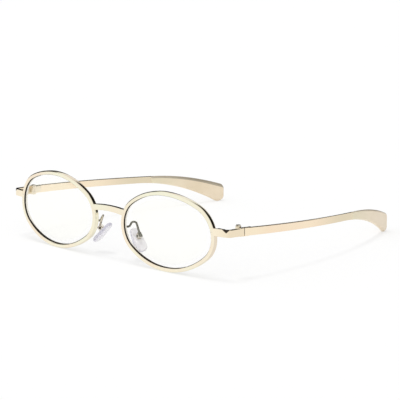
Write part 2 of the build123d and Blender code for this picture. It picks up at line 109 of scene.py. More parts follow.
class Graph:
    def __init__(self, tree):
        self.tree = tree
        tree.nodes.clear()

    def node(self, kind, settings=None, inputs=None, output=0):
        made = self.tree.nodes.new(kind)
        for name, value in (settings or {}).items():
            setattr(made, name, value)
        for key, value in (inputs or {}).items():
            socket = made.inputs[key]
            if isinstance(value, Value):
                self.tree.links.new(value.socket, socket)
            else:
                socket.default_value = value
        return Value(self, made.outputs[output])

    def mixColour(self, factor, first, second):
        return self.node("ShaderNodeMix", {"data_type": "RGBA"}, {0: factor, 6: first, 7: second}, 2)

    def spread(self, value, low, high):
        # 0 below the low value, 1 above the high one, smooth between
        settings = {"interpolation_type": "SMOOTHSTEP"}
        return self.node("ShaderNodeMapRange", settings, {0: value, 1: low, 2: high})

    def noise(self, scale, detail=3.0, roughness=0.5, stretch=(1, 1, 1)):
        place = self.node("ShaderNodeTexCoord", output="Object")
        turned = self.node("ShaderNodeMapping", None, {"Vector": place, "Scale": stretch})
        inputs = {"Vector": turned, "Scale": scale, "Detail": detail, "Roughness": roughness}
        return self.node("ShaderNodeTexNoise", None, inputs)

    def parts(self, vector):
        split = self.tree.nodes.new("ShaderNodeSeparateXYZ")
        self.tree.links.new(vector.socket, split.inputs[0])
        return [Value(self, socket) for socket in split.outputs]

    def bump(self, height, strength, distance):
        inputs = {"Strength": strength, "Distance": distance, "Height": height}
        return self.node("ShaderNodeBump", None, inputs)

    def surface(self, shader, kind="ShaderNodeOutputMaterial"):
        last = self.tree.nodes.new(kind)
        self.tree.links.new(shader.socket, last.inputs["Surface"])


def newMaterial(name):
    material = bpy.data.materials.new(name)
    material.use_nodes = True
    return material, Graph(material.node_tree)


# Plated metal: a pale warm gold whose tint drifts a little, with fine polishing marks
# A noise is given by its scale, its detail and, where it isn't 0.5, its roughness
goldLook = {
    "pale": (0.905, 0.885, 0.700, 1), "warm": (0.925, 0.810, 0.640, 1),
    "driftNoise": (45, 2), "driftEdges": (0.36, 0.64),
    "smooth": 0.05, "cloud": 0.06, "cloudNoise": (260, 4, 0.6),
    "marksNoise": (1500, 5, 0.65), "marksStretch": (1, 1, 1), "marksStrength": 0.05, "marksDepth": 0.00001,
}


def goldMetal(name, **changes):
    look = dict(goldLook, **changes)
    material, g = newMaterial(name)
    drift = g.spread(g.noise(*look["driftNoise"]), *look["driftEdges"])
    colour = g.mixColour(drift, look["pale"], look["warm"])
    if "far" in look:
        # another colour takes over between two places along the piece
        y = g.parts(g.node("ShaderNodeTexCoord", output="Object"))[1]
        colour = g.mixColour(g.spread(y, *look["reach"]), colour, look["far"])
    marks = g.noise(*look["marksNoise"], look["marksStretch"])
    g.surface(g.node("ShaderNodeBsdfPrincipled", None, {
        "Base Color": colour, "Metallic": 1.0,
        "Roughness": look["smooth"] + g.noise(*look["cloudNoise"]) * look["cloud"],
        "Normal": g.bump(marks, look["marksStrength"], look["marksDepth"]),
    }))
    return material


# End piece: paler in front than on its side, the side's darker gold being painted shade, and with a small
# hollow high on the bend, made by a bump and darkened with painted shade
endLook = dict(goldLook, pale=(0.960, 0.865, 0.680, 1), warm=(0.835, 0.710, 0.520, 1),
               dark=(0.040, 0.030, 0.022, 1), driftNoise=(135, 2), driftShare=0.3,
               turn=(-0.0660, -0.0625), across=(0.728, 0.686), middle=0.00665, foot=0.0219,
               widen=1.15, soft=0.0002, hollowStrength=0.4, hollowDepth=-0.0001)


def endMetalMaterial(look):
    material, g = newMaterial("endGold")
    x, y, z = g.parts(g.node("ShaderNodeTexCoord", output="Object"))
    drift = g.noise(*look["driftNoise"]) * look["driftShare"]
    # behind the turn the side takes the warmer, darker gold: painted shade
    side = g.spread(y, *look["turn"]) * (1 - look["driftShare"] + drift)
    colour = g.mixColour(side, look["pale"], look["warm"])
    # the painted dark hollow stands on its foot and widens with height, both ways from the bend's middle
    across = (x.size() * look["across"][0] + y * look["across"][1] - look["middle"]).size()
    hollowAndShade = g.spread((z - look["foot"]) * look["widen"] - across, 0.0, look["soft"])
    g.surface(g.node("ShaderNodeBsdfPrincipled", None, {
        "Base Color": g.mixColour(hollowAndShade, colour, look["dark"]), "Metallic": 1.0,
        "Roughness": look["smooth"] + g.noise(*look["cloudNoise"]) * look["cloud"],
        "Normal": g.bump(hollowAndShade, look["hollowStrength"], look["hollowDepth"]),
    }))
    return material


rimMetal = goldMetal("rimGold")
# the rim's outer wall takes a darker gold: painted shade for the darker reflections along that side
shadedWallMetal = goldMetal("rimWallGold", pale=(0.885, 0.850, 0.660, 1), warm=(0.790, 0.690, 0.550, 1),
                      driftNoise=(70, 2))
templeMetal = goldMetal("templeGold", pale=(0.930, 0.800, 0.600, 1), warm=(0.925, 0.755, 0.565, 1),
                        far=(0.745, 0.650, 0.475, 1), reach=(-0.012, 0.018), marksStrength=0.16,
                        marksStretch=(1, 0.05, 1))
fittingMetal = goldMetal("fittingGold", pale=(0.88, 0.80, 0.64, 1), warm=(0.80, 0.67, 0.50, 1), smooth=0.2)
endMetal = endMetalMaterial(endLook)
# the left pad arm is near black as painted shade on a gold wire, and the right one takes a paler lit copy
# of it
shadedWireMetal = goldMetal("wireShaded", pale=(0.052, 0.047, 0.042, 1), warm=(0.014, 0.012, 0.010, 1),
                      driftNoise=(260, 2))
litWire = goldMetal("wireGold", pale=(0.70, 0.64, 0.50, 1), warm=(0.18, 0.15, 0.11, 1),
                     driftNoise=(600, 2))
# the dark brown mixed into the pad box's gold is painted shade
shadedBoxMetal = goldMetal("boxGold", pale=(0.88, 0.83, 0.74, 1), warm=(0.40, 0.34, 0.27, 1),
                     driftNoise=(600, 2))
# the pad screws are near black: painted shade for the dark marks under the pad boxes
shadedPadScrew = goldMetal("screwDark", pale=(0.10, 0.09, 0.08, 1), warm=(0.035, 0.030, 0.025, 1),
                      smooth=0.24, marksStretch=(1, 1, 0.2))
screwMetal = goldMetal("screwSteel", pale=(0.70, 0.66, 0.58, 1), warm=(0.60, 0.54, 0.44, 1),
                       smooth=0.24, marksStretch=(1, 1, 0.2))


# Tip plastic: tan with a pearly lacquer, faintly cloudy, and darker along its top, where the darker colour
# is painted shade
tipLook = {
    "light": (0.860, 0.735, 0.560, 1), "deep": (0.795, 0.670, 0.485, 1), "pearl": 0.25,
    "mouth": (0.800, 0.720, 0.520, 1), "mouthReach": (0.026, 0.052),
    "cloudNoise": (70, 4, 0.6), "cloudEdges": (0.35, 0.68), "smooth": 0.26, "grain": 0.1,
    "grainNoise": (900, 4, 0.6), "ior": 1.48, "coat": 0.2, "coatSmooth": 0.18,
}
# darker colours for the tip's top band: painted shade
tipTopLook = dict(tipLook, light=(0.450, 0.395, 0.300, 1), deep=(0.380, 0.325, 0.235, 1),
                  mouth=(0.560, 0.490, 0.370, 1))


def tipPlastic(name, look):
    material, g = newMaterial(name)
    y = g.parts(g.node("ShaderNodeTexCoord", output="Object"))[1]
    cloud = g.spread(g.noise(*look["cloudNoise"]), *look["cloudEdges"])
    clouded = g.mixColour(cloud, look["light"], look["deep"])
    g.surface(g.node("ShaderNodeBsdfPrincipled", None, {
        "Base Color": g.mixColour(g.spread(y, *look["mouthReach"]), look["mouth"], clouded),
        "Roughness": look["smooth"] + g.noise(*look["grainNoise"]) * look["grain"],
        "Metallic": look["pearl"], "IOR": look["ior"],
        "Coat Weight": look["coat"], "Coat Roughness": look["coatSmooth"],
    }))
    return material


# Lens: almost nothing when looked at straight, a little more at a slant, and it fades at its edge
lensLook = {
    "tint": (0.985, 0.975, 0.790, 1), "smear": (0.985, 0.975, 0.810, 1), "smearNoise": (60, 3),
    "smooth": 0.02, "smearRough": 0.03, "ior": 1.5, "straight": 0.06, "slant": 0.32, "blend": 0.32,
    "fade": (0.86, 0.93), "fadeTo": 0.12,
}


def lensPlastic(look):
    material, g = newMaterial("lensPlastic")
    slant = g.node("ShaderNodeLayerWeight", None, {"Blend": look["blend"]}, "Facing")
    smear = g.noise(*look["smearNoise"])
    reach = g.node("ShaderNodeAttribute", {"attribute_name": "reach"}, output="Fac")
    fade = 1 - g.spread(reach, *look["fade"]) * (1 - look["fadeTo"])
    g.surface(g.node("ShaderNodeBsdfPrincipled", None, {
        "Base Color": g.mixColour(smear, look["tint"], look["smear"]),
        "Roughness": look["smooth"] + smear * look["smearRough"], "IOR": look["ior"],
        "Alpha": (look["straight"] + slant ** 2.0 * look["slant"]) * fade,
    }))
    return material


# The lens edge, seated in the rim: its front part is nearly black, painted shade for the dark line where
# the lens sits in the rim, and the part behind that is frosted and pale
edgeShadeLook = {
    "first": (0.007, 0.005, 0.003, 1), "second": (0.036, 0.022, 0.012, 1), "patchNoise": (160, 3),
    "patchEdges": (0.35, 0.65), "smooth": 0.5, "patchRough": 0.2, "ior": 1.4, "specular": 0.1,
}
frostLook = dict(edgeShadeLook, first=(0.93, 0.89, 0.79, 1), second=(0.97, 0.95, 0.90, 1),
                 ior=1.5, specular=0.5)


def groundPlastic(name, look):
    material, g = newMaterial(name)
    patches = g.spread(g.noise(*look["patchNoise"]), *look["patchEdges"])
    g.surface(g.node("ShaderNodeBsdfPrincipled", None, {
        "Base Color": g.mixColour(patches, look["first"], look["second"]),
        "Roughness": look["smooth"] + patches * look["patchRough"],
        "IOR": look["ior"], "Specular IOR Level": look["specular"],
    }))
    return material


# Nose pads: clear soft plastic with a faint lavender tint, a darker grey-lavender round its edge that is
# painted shade, and less clear at a slant
padLook = {
    "clear": (0.940, 0.915, 0.985, 1), "milky": (0.990, 0.980, 1.00, 1), "edge": (0.62, 0.61, 0.72, 1),
    "cloudNoise": (160, 4), "cloudEdges": (0.35, 0.65), "smooth": 0.16, "cloudRough": 0.1,
    "ior": 1.42, "coat": 0.3, "coatSmooth": 0.1, "straight": 0.68, "slant": 0.26, "blend": 0.4,
}


def padPlastic(look):
    material, g = newMaterial("padPlastic")
    cloud = g.spread(g.noise(*look["cloudNoise"]), *look["cloudEdges"])
    edge = g.node("ShaderNodeAttribute", {"attribute_name": "edge"}, output="Fac")
    slant = g.node("ShaderNodeLayerWeight", None, {"Blend": look["blend"]}, "Facing")
    clouded = g.mixColour(cloud, look["clear"], look["milky"])
    g.surface(g.node("ShaderNodeBsdfPrincipled", None, {
        # the edge colour is painted shade, darkest at the pad's outermost line
        "Base Color": g.mixColour(edge ** 2.0, clouded, look["edge"]),
        "Roughness": look["smooth"] + cloud * look["cloudRough"], "IOR": look["ior"],
        "Coat Weight": look["coat"], "Coat Roughness": look["coatSmooth"],
        "Alpha": look["straight"] + slant * look["slant"],
    }))
    return material


plastics = {
    "tip": tipPlastic("tipPlastic", tipLook), "tipTop": tipPlastic("tipTop", tipTopLook),
    "lens": lensPlastic(lensLook), "lensEdge": groundPlastic("lensEdge", edgeShadeLook),
    "lensFrost": groundPlastic("lensFrost", frostLook), "pad": padPlastic(padLook),
}
print("materials made")


# A grid of points becomes a mesh: rows along the shape, columns round it
def gridMesh(name, points, poles=False):
    rows, columns = points.shape[:2]
    vertices = points.reshape(-1, 3)
    r = np.arange(rows - 1)[:, None]
    c = np.arange(columns)[None, :]
    nextColumn = (c + 1) % columns
    corners = [r * columns + c, r * columns + nextColumn,
               (r + 1) * columns + nextColumn, (r + 1) * columns + c]
    faces = np.stack([np.broadcast_to(k, (rows - 1, columns)) for k in corners], -1)
    faces = faces.reshape(-1, 4).tolist()
    lastRow = (rows - 1) * columns
    ring = np.arange(columns)
    if poles:
        # each end closes on one middle point
        first, last = len(vertices), len(vertices) + 1
        middles = np.stack([points[0].mean(0), points[-1].mean(0)])
        vertices = np.concatenate([vertices, middles])
        faces += [[first, (k + 1) % columns, k] for k in ring.tolist()]
        faces += [[last, lastRow + k, lastRow + (k + 1) % columns] for k in ring.tolist()]
    else:
        faces += [ring[::-1].tolist(), (lastRow + ring).tolist()]
    mesh = bpy.data.meshes.new(name)
    mesh.from_pydata((vertices * mm).tolist(), [], faces)
    return mesh


# Points closer than this become one, and an edge that turns more than this stays sharp
meshFinish = {"mergeReach": 0.0005, "sharpDegrees": 40}


def finishMesh(mesh, sharpDegrees):
    # Normals outwards, smooth faces, sharp where the shape really has an edge
    work = bmesh.new()
    work.from_mesh(mesh)
    bmesh.ops.remove_doubles(work, verts=work.verts, dist=meshFinish["mergeReach"] * mm)
    bmesh.ops.recalc_face_normals(work, faces=work.faces)
    work.to_mesh(mesh)
    work.free()
    mesh.polygons.foreach_set("use_smooth", np.ones(len(mesh.polygons), bool))
    mesh.set_sharp_from_angle(angle=math.radians(sharpDegrees))
    mesh.update()


def addPiece(name, meshes, materials, body, nodes, sharpDegrees=meshFinish["sharpDegrees"]):
    # One object from one or more meshes, which rides a body and stands for the CAD nodes named
    joined = bmesh.new()
    for mesh in meshes:
        joined.from_mesh(mesh)
    mesh = bpy.data.meshes.new(name)
    joined.to_mesh(mesh)
    joined.free()
    finishMesh(mesh, sharpDegrees)
    for material in materials:
        mesh.materials.append(material)
    piece = bpy.data.objects.new(name, mesh)
    bpy.context.scene.collection.objects.link(piece)
    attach(piece, body)
    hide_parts(*nodes)


def section(halfWide, halfHigh, radius, cornerSteps=7):
    # Rounded rectangle: four quarter circles joined by straights that carry a few points of their own
    halfWide, halfHigh, radius = np.broadcast_arrays(*map(np.atleast_1d, (halfWide, halfHigh, radius)))
    signs = np.array([(1, 1), (-1, 1), (-1, -1), (1, -1)], float)
    turns = np.linspace(0, math.pi / 2, cornerSteps)[None, :] + np.arange(4)[:, None] * math.pi / 2
    arcs = np.stack([np.cos(turns), np.sin(turns)], -1)
    centres = np.stack([halfWide - radius, halfHigh - radius], -1)[:, None, :] * signs
    corners = centres[:, :, None, :] + arcs * radius[:, None, None, None]
    following = np.roll(corners, -1, axis=1)[:, :, :1]
    shares = np.array([0.06, 0.35, 0.65, 0.94])[:, None]
    straights = corners[:, :, -1:] + (following - corners[:, :, -1:]) * shares
    ring = np.concatenate([corners, straights], axis=2)
    return ring.reshape(len(halfWide), -1, 2)


# Rim outline: eight arcs. A point is its arc's centre plus the radius along its outward normal
# The outer wall is given by the columns of the section that face outwards, and its darker gold is painted
# shade
rim = {
    "halfWide": 27.7, "halfHigh": 18.3, "band": 1.9, "depth": 2.45, "round": 0.5, "splitWide": 0.04,
    "crown": 0.1, "wall": (14, 25),
    "endShares": {(1, 1): 0.863, (-1, 1): 0.760, (-1, -1): 0.749, (1, -1): 0.716},
    "wrap": math.radians(3.45), "curve": 167.0, "bulge": 0.23, "arcSteps": 46,
}
# The end piece lies across the rim's cut
endPiece = {
    "thick": 1.4, "bend": 3.0, "rake": math.radians(11), "rise": 5.3, "high": 3.35, "round": 0.3,
    "lap": 0.9, "steps": (12, 34, 46), "lastShare": 0.98, "rowGap": 0.05,
}
rimCentreX = whole["gap"] / 2 + rim["halfWide"]
sideX = rimCentreX + rim["halfWide"] + whole["endReach"]
wrapX = np.array([math.cos(rim["wrap"]), math.sin(rim["wrap"]), 0])
wrapBack = np.array([-math.sin(rim["wrap"]), math.cos(rim["wrap"]), 0])
lensOrigin = np.array([rimCentreX, frontY - rim["bulge"], rim["halfHigh"]])


def ovalQuarter(sideSign, riseSign):
    # Points and outward normals from the end of the oval to its top or foot
    wide, high = rim["halfWide"], rim["halfHigh"]
    radius = high * rim["endShares"][(sideSign, riseSign)]
    topRadius = (wide**2 - 2 * wide * radius + high**2) / (2 * (high - radius))
    joinAngle = math.atan2(topRadius - high, wide - radius)
    endAngles = np.linspace(0, joinAngle, rim["arcSteps"], endpoint=False)
    topAngles = np.linspace(joinAngle, math.pi / 2, rim["arcSteps"], endpoint=False)
    angles = np.concatenate([endAngles, topAngles])
    normals = np.stack([np.cos(angles), np.sin(angles)], -1)
    onEnd = (angles < joinAngle)[:, None]
    points = np.where(onEnd, np.array([wide - radius, 0]) + normals * radius,
                      np.array([0, high - topRadius]) + normals * topRadius)
    flip = np.array([sideSign, riseSign])
    return points * flip, normals * flip


def ovalOutline():
    # Once round, starting at the outer end and rising; each second quarter runs backwards
    allPoints, allNormals = [], []
    quarters = {(1, 1): False, (-1, 1): True, (-1, -1): False, (1, -1): True}
    for (sideSign, riseSign), backwards in quarters.items():
        points, normals = ovalQuarter(sideSign, riseSign)
        if backwards:
            # the reversed quarter starts at the top or foot, which the quarter before left out
            high = np.array([[0, riseSign * rim["halfHigh"]]])
            up = np.array([[0, riseSign]])
            points = np.concatenate([high, points[:0:-1]])
            normals = np.concatenate([up, normals[:0:-1]])
        allPoints.append(points)
        allNormals.append(normals)
    return np.concatenate(allPoints), np.concatenate(allNormals)


ovalPoints, ovalNormals = ovalOutline()


def onLensCurve(flat, setback):
    # A flat point goes onto a sphere whose radius is the curve less the setback. Its depth is the
    # curve less the root of that radius squared less its distance from the middle squared
    reach = (flat**2).sum(-1)
    deep = rim["curve"] - np.sqrt((rim["curve"] - setback) ** 2 - reach)
    level = lensOrigin + flat[..., :1] * wrapX + flat[..., 1:] * np.array([0, 0, 1])
    return level + deep[..., None] * wrapBack


def mirrored(points, sign):
    return points * np.array([sign, 1, 1])


def makeRims():
    # A ring open at the cut level with the end piece: the section is carried round the outline
    splitHigh = endPiece["rise"] - endPiece["high"] / 2
    above = np.where((ovalPoints[:, 0] > 0) & (ovalPoints[:, 1] > splitHigh))[0].min()
    line = np.roll(ovalPoints, -above, axis=0)
    out = np.roll(ovalNormals, -above, axis=0)
    # both ends of the ring stop half a cut away from its level
    level = np.array([splitHigh - rim["splitWide"] / 2, splitHigh + rim["splitWide"] / 2])
    share = ((level - line[-1, 1]) / (line[0, 1] - line[-1, 1]))[:, None]
    ends, endsOut = (k[-1] + (k[0] - k[-1]) * share for k in (line, out))
    line = np.concatenate([ends[1:], line, ends[:1]])
    out = np.concatenate([endsOut[1:], out, endsOut[:1]])
    ring = section(rim["band"] / 2, rim["depth"] / 2, rim["round"])[0]
    # the outer wall is slightly crowned: its front and back draw in by the square of their reach
    outward = np.clip(-ring[:, 0] / (rim["band"] / 2), 0, 1)
    inset = rim["band"] / 2 + ring[:, 0] + rim["crown"] * outward * (ring[:, 1] / (rim["depth"] / 2)) ** 2
    setback = np.broadcast_to(rim["depth"] / 2 + ring[:, 1], (len(line), len(ring)))
    points = onLensCurve(line[:, None, :] - out[:, None, :] * inset[None, :, None], setback)
    for side, sign in sides.items():
        mesh = gridMesh(f"rim_{side}_mesh", mirrored(points, sign))
        column = np.arange(len(mesh.polygons)) % len(ring)
        # the outer wall's faces take the second, darker gold: painted shade
        onShadedWall = (column >= rim["wall"][0]) & (column < rim["wall"][1])
        mesh.polygons.foreach_set("material_index", onShadedWall.astype(np.int32))
        addPiece(f"rim_wire_{side}", [mesh], [rimMetal, shadedWallMetal], "front", [f"rim_{side}"])


makeRims()

# how deep the painted shade reaches on the lens edge, at its side and at its foot
lens = {
    "thick": 1.8, "setback": 0.352, "darkSide": 0.95, "darkFoot": 1.6, "footFrom": 0.75, "footSlope": 5,
    "clearance": 0.03, "rings": 26, "sharpDegrees": 30,
}


def makeLenses():
    # Front face, edge and back face as rings about one middle point on each face
    shares = np.linspace(0, 1, lens["rings"])[1:]
    rimLine = ovalPoints - ovalNormals * (rim["band"] + lens["clearance"])
    front = [onLensCurve(rimLine * k, lens["setback"]) for k in shares]
    # the painted shade on the edge reaches deeper towards the foot of the lens
    footShare = np.clip((-ovalNormals[:, 1] - lens["footFrom"]) * lens["footSlope"], 0, 1)
    dark = lens["darkSide"] + (lens["darkFoot"] - lens["darkSide"]) * footShare
    edge = [onLensCurve(rimLine, lens["setback"] + d) for d in (dark, lens["thick"])]
    back = [onLensCurve(rimLine * k, lens["setback"] + lens["thick"]) for k in shares[-2::-1]]
    points = np.stack(front + edge + back)
    edgeRow, columns = len(front) - 1, points.shape[1]
    # how far out each point lies, which the lens plastic reads: 0 in the middle, 1 at the edge
    reach = np.concatenate([shares, [1, 1], shares[-2::-1]])
    reach = np.concatenate([np.repeat(reach, columns), [0, 0]])
    for side, sign in sides.items():
        mesh = gridMesh(f"lens_{side}_mesh", mirrored(points, sign), poles=True)
        mesh.attributes.new("reach", "FLOAT", "POINT").data.foreach_set("value", reach)
        finish = np.zeros(len(mesh.polygons), np.int32)
        # the front of the edge takes the near black painted shade, the part behind it the frost
        finish[edgeRow * columns:(edgeRow + 1) * columns] = 1
        finish[(edgeRow + 1) * columns:(edgeRow + 2) * columns] = 2
        mesh.polygons.foreach_set("material_index", finish)
        finishes = [plastics[k] for k in ("lens", "lensEdge", "lensFrost")]
        addPiece(f"lens_disc_{side}", [mesh], finishes, "front", [f"lens_{side}"],
                 lens["sharpDegrees"])


makeLenses()
print("rims and lenses made")

bridge = {"lap": 2.3, "rise": 7.0, "high": 2.6, "thick": 2.2, "setback": 0.4, "topDrop": 0.75,
          "underDrop": 1.05, "round": 0.2156, "steps": 90, "endRound": 0.4}


def arcDrop(x, halfLong, drop):
    # How far an arc through its crown and both ends has fallen at x
    radius = (halfLong**2 + drop**2) / (2 * drop)
    return radius - np.sqrt(radius**2 - x**2)


def makeBridge():
    # The section stays upright, and its height follows the two arcs
    halfLong = whole["gap"] / 2 + bridge["lap"]
    x = halfLong * np.sin(np.linspace(-math.pi / 2, math.pi / 2, bridge["steps"]))
    crown = rim["halfHigh"] + bridge["rise"]
    top = crown - arcDrop(x, halfLong, bridge["topDrop"])
    under = crown - bridge["high"] - arcDrop(x, halfLong, bridge["underDrop"])
    toEnd = np.clip(halfLong - np.abs(x), 0, bridge["endRound"])
    inset = bridge["endRound"] - np.sqrt(bridge["endRound"] ** 2 - (bridge["endRound"] - toEnd) ** 2)
    ring = section(bridge["thick"] / 2 - inset, (top - under) / 2 - inset, bridge["round"])
    middleY = frontY + bridge["setback"] + bridge["thick"] / 2
    points = np.stack([np.broadcast_to(x[:, None], ring.shape[:2]), middleY + ring[..., 0],
                       (top + under)[:, None] / 2 + ring[..., 1]], -1)
    mesh = gridMesh("bridge_mesh", points)
    addPiece("bridge_bar", [mesh], [rimMetal], "front", ["bridge"])


makeBridge()

# The slit parts each end piece from its temple, and both stand slightly proud beside it
slit = {"setback": 15.3, "gap": 0.3, "headLong": 2.4, "headProud": 0.12, "headRamp": 0.12,
        "headMargin": 0.3, "headSteps": 40}
temple = {
    "thick": 1.3, "bow": 272.0, "bowSetback": 44.7, "high": 3.75, "drop": 0.5, "round": 0.25,
    "topBend": (98.7, 17.17), "underBend": (87.7, 14.55), "mouth": 95.2, "steps": 260, "lap": 1.0,
}
# The top band of a tip, which takes a darker plastic as painted shade, is given by the columns of its
# section that face up
tip = {
    "heel": 3.1, "crown": 2.7, "crownZ": 6.8, "round": 1.35, "mouthRound": 0.22,
    "outer": (0.2, 0.35), "inner": (0.32, 1.3), "steps": 170, "topBand": (51, 17), "crowding": 1.9,
    "mouthSteps": 14, "roundShare": 0.97, "cornerSteps": 9, "sharpDegrees": 60,
}
templeTopZ = rim["halfHigh"] + endPiece["rise"] - temple["drop"]
slitY = frontY + slit["setback"]
startY = slitY + slit["gap"]
endY = frontY + whole["depth"]
mouthY = frontY + temple["mouth"]


def makeEndPieces():
    # Seen from above: a straight, a bend of one radius and a straight back to the slit
    sag = rim["curve"] - math.sqrt(rim["curve"] ** 2 - rim["halfWide"] ** 2)
    rimEnd = lensOrigin + rim["halfWide"] * wrapX + sag * wrapBack
    rake, bend = endPiece["rake"], endPiece["bend"]
    ahead = np.array([math.cos(rake), math.sin(rake)])
    corner = np.array([sideX, rimEnd[1] + (sideX - rimEnd[0]) * math.tan(rake)])
    reachOfBend = bend * math.tan((math.pi / 2 - rake) / 2)
    firstEnd = corner - ahead * reachOfBend
    start = rimEnd[:2] - ahead * endPiece["lap"]
    middle = firstEnd + np.array([-ahead[1], ahead[0]]) * bend
    # rows for the straight, the bend and the way back
    first, turning, last = endPiece["steps"]
    bent = first + turning
    headings = np.concatenate([np.full(first, rake), np.linspace(rake, math.pi / 2, turning),
                               np.full(last, math.pi / 2)])
    along = np.stack([np.cos(headings), np.sin(headings)], -1)
    inward = np.stack([-along[:, 1], along[:, 0]], -1)
    line = middle - inward * bend
    line[:first] = start + (firstEnd - start) * np.linspace(0, endPiece["lastShare"], first)[:, None]
    back = np.linspace(line[bent - 1, 1] + endPiece["rowGap"], slitY, last)
    line[bent:] = np.stack([np.full(last, sideX), back], -1)
    share = (line[:, 1] - (rimEnd[1] - rim["depth"])) / (slitY - rimEnd[1] + rim["depth"])
    frontTop = rim["halfHigh"] + endPiece["rise"]
    top = frontTop + (templeTopZ - frontTop) * share
    frontUnder = frontTop - endPiece["high"]
    under = frontUnder + (templeTopZ - temple["high"] - frontUnder) * share
    proud = slit["headProud"] * np.clip((line[:, 1] - slitY + slit["headLong"]) / slit["headRamp"], 0, 1)
    ring = section(endPiece["thick"] / 2 + proud / 2, (top - under) / 2 + proud, endPiece["round"])
    across = endPiece["thick"] / 2 - proud / 2
    flat = line[:, None, :] + inward[:, None, :] * (across[:, None] + ring[..., 0])[..., None]
    high = (top + under)[:, None] / 2 + ring[..., 1]
    points = np.concatenate([flat, high[..., None]], -1)
    for side, sign in sides.items():
        mesh = gridMesh(f"end_{side}_mesh", mirrored(points, sign))
        addPiece(f"end_strip_{side}", [mesh], [endMetal], "front", [f"end_piece_{side}"])


makeEndPieces()


def tangentArc(start, slope, centre, radius, inside):
    # The arc that leaves a falling line at its start and touches a circle: its centre and radius
    down = np.array([-math.sin(slope), -math.cos(slope)])
    gap = start - centre
    touch = -radius if inside else radius
    arcRadius = (gap @ gap - radius**2) / (2 * (touch - down @ gap))
    return start + down * arcRadius, arcRadius


def templeEdges(y):
    # Height of the upper and under edge at each y, seen from the side
    topStart = np.array([startY, templeTopZ])
    underStart = np.array([startY, templeTopZ - temple["high"]])
    topBend = np.array([frontY + temple["topBend"][0], temple["topBend"][1]])
    underBend = np.array([frontY + temple["underBend"][0], temple["underBend"][1]])
    crown = np.array([endY - tip["crown"], tip["crownZ"]])
    heel = np.array([endY - tip["heel"], tip["heel"]])
    edges = []
    for start, bend, knob, radius, inside in ((topStart, topBend, crown, tip["crown"], True),
                                              (underStart, underBend, heel, tip["heel"], False)):
        slope = math.atan2(start[1] - bend[1], bend[0] - start[0])
        centre, arcRadius = tangentArc(bend, slope, knob, radius, inside)
        away = knob - centre if inside else centre - knob
        touchY = knob[0] + away[0] / np.linalg.norm(away) * radius
        straight = start[1] - (y - start[0]) * math.tan(slope)
        arc = centre[1] + np.sqrt(np.maximum(arcRadius**2 - (y - centre[0]) ** 2, 0))
        knobRise = np.sqrt(np.maximum(radius**2 - (y - knob[0]) ** 2, 0)) * (1 if inside else -1)
        edges.append(np.where(y < bend[0], straight, np.where(y < touchY, arc, knob[1] + knobRise)))
    return edges


def bowedGrid(y, ring, outward, middleZ):
    # Carries a section along the bowed side: x is measured inwards from the temple's outer face
    centreX = sideX - math.sqrt(temple["bow"] ** 2 - (temple["bowSetback"] - slit["setback"]) ** 2)
    bowY = frontY + temple["bowSetback"]
    inset = outward[:, None] + ring[..., 0]
    x = centreX + np.sqrt((temple["bow"] - inset) ** 2 - (y - bowY)[:, None] ** 2)
    z = middleZ[:, None] + ring[..., 1]
    return np.stack([x, np.broadcast_to(y[:, None], x.shape), z], -1)


def makeTemples():
    # A bowed bar between the two edges: its rows are closer together over the head by the slit
    headEnd = startY + slit["headLong"] + slit["headMargin"]
    y = np.concatenate([np.linspace(startY, headEnd, slit["headSteps"])[:-1],
                        np.linspace(headEnd, mouthY + temple["lap"], temple["steps"])])
    top, under = templeEdges(y)
    proud = slit["headProud"] * np.clip((startY + slit["headLong"] - y) / slit["headRamp"] + 1, 0, 1)
    ring = section(temple["thick"] / 2 + proud / 2, (top - under) / 2 + proud, temple["round"])
    points = bowedGrid(y, ring, temple["thick"] / 2 - proud / 2, (top + under) / 2)
    for side, sign in sides.items():
        mesh = gridMesh(f"temple_{side}_mesh", mirrored(points, sign))
        addPiece(f"temple_bar_{side}", [mesh], [templeMetal], f"temple_{side}",
                 [f"temple_{side}"])


def edgeInset(distance, radius):
    # How much a quarter-round edge takes off at a distance from the end
    inside = np.clip(distance, 0, radius)
    return radius - np.sqrt(np.maximum(radius**2 - (radius - inside) ** 2, 0))


def makeTips():
    # A sleeve that thickens and deepens to its end, with every edge rounded
    k = np.linspace(0, 1, tip["steps"])
    y = endY - (endY - mouthY) * (1 - k) ** tip["crowding"]
    first = tip["mouthSteps"]
    y[:first] = np.linspace(mouthY, y[first], first, endpoint=False)
    along = (y - mouthY) / (endY - mouthY)
    top, under = templeEdges(y)
    outer = tip["outer"][0] + (tip["outer"][1] - tip["outer"][0]) * along
    inner = tip["inner"][0] + (tip["inner"][1] - tip["inner"][0]) * along
    inset = edgeInset(endY - y, tip["round"]) + edgeInset(y - mouthY, tip["mouthRound"])
    halfThick = (temple["thick"] + outer + inner) / 2
    halfHigh = (top - under) / 2 - inset
    radius = np.minimum(tip["round"], np.minimum(halfThick - inset, halfHigh) * tip["roundShare"])
    ring = section(halfThick - inset, halfHigh, radius, tip["cornerSteps"])
    points = bowedGrid(y, ring, halfThick - outer, (top + under) / 2)
    for side, sign in sides.items():
        mesh = gridMesh(f"tip_{side}_mesh", mirrored(points, sign))
        column = np.arange(len(mesh.polygons)) % ring.shape[1]
        # faces of the top band take the darker plastic of painted shade
        onShadedTop = (column >= tip["topBand"][0]) | (column < tip["topBand"][1])
        mesh.polygons.foreach_set("material_index", onShadedTop.astype(np.int32))
        addPiece(f"tip_sleeve_{side}", [mesh], [plastics["tip"], plastics["tipTop"]],
                 f"temple_{side}", [f"temple_tip_{side}"], tip["sharpDegrees"])


makeTemples()
makeTips()
print("bridge, end pieces, temples and tips made")

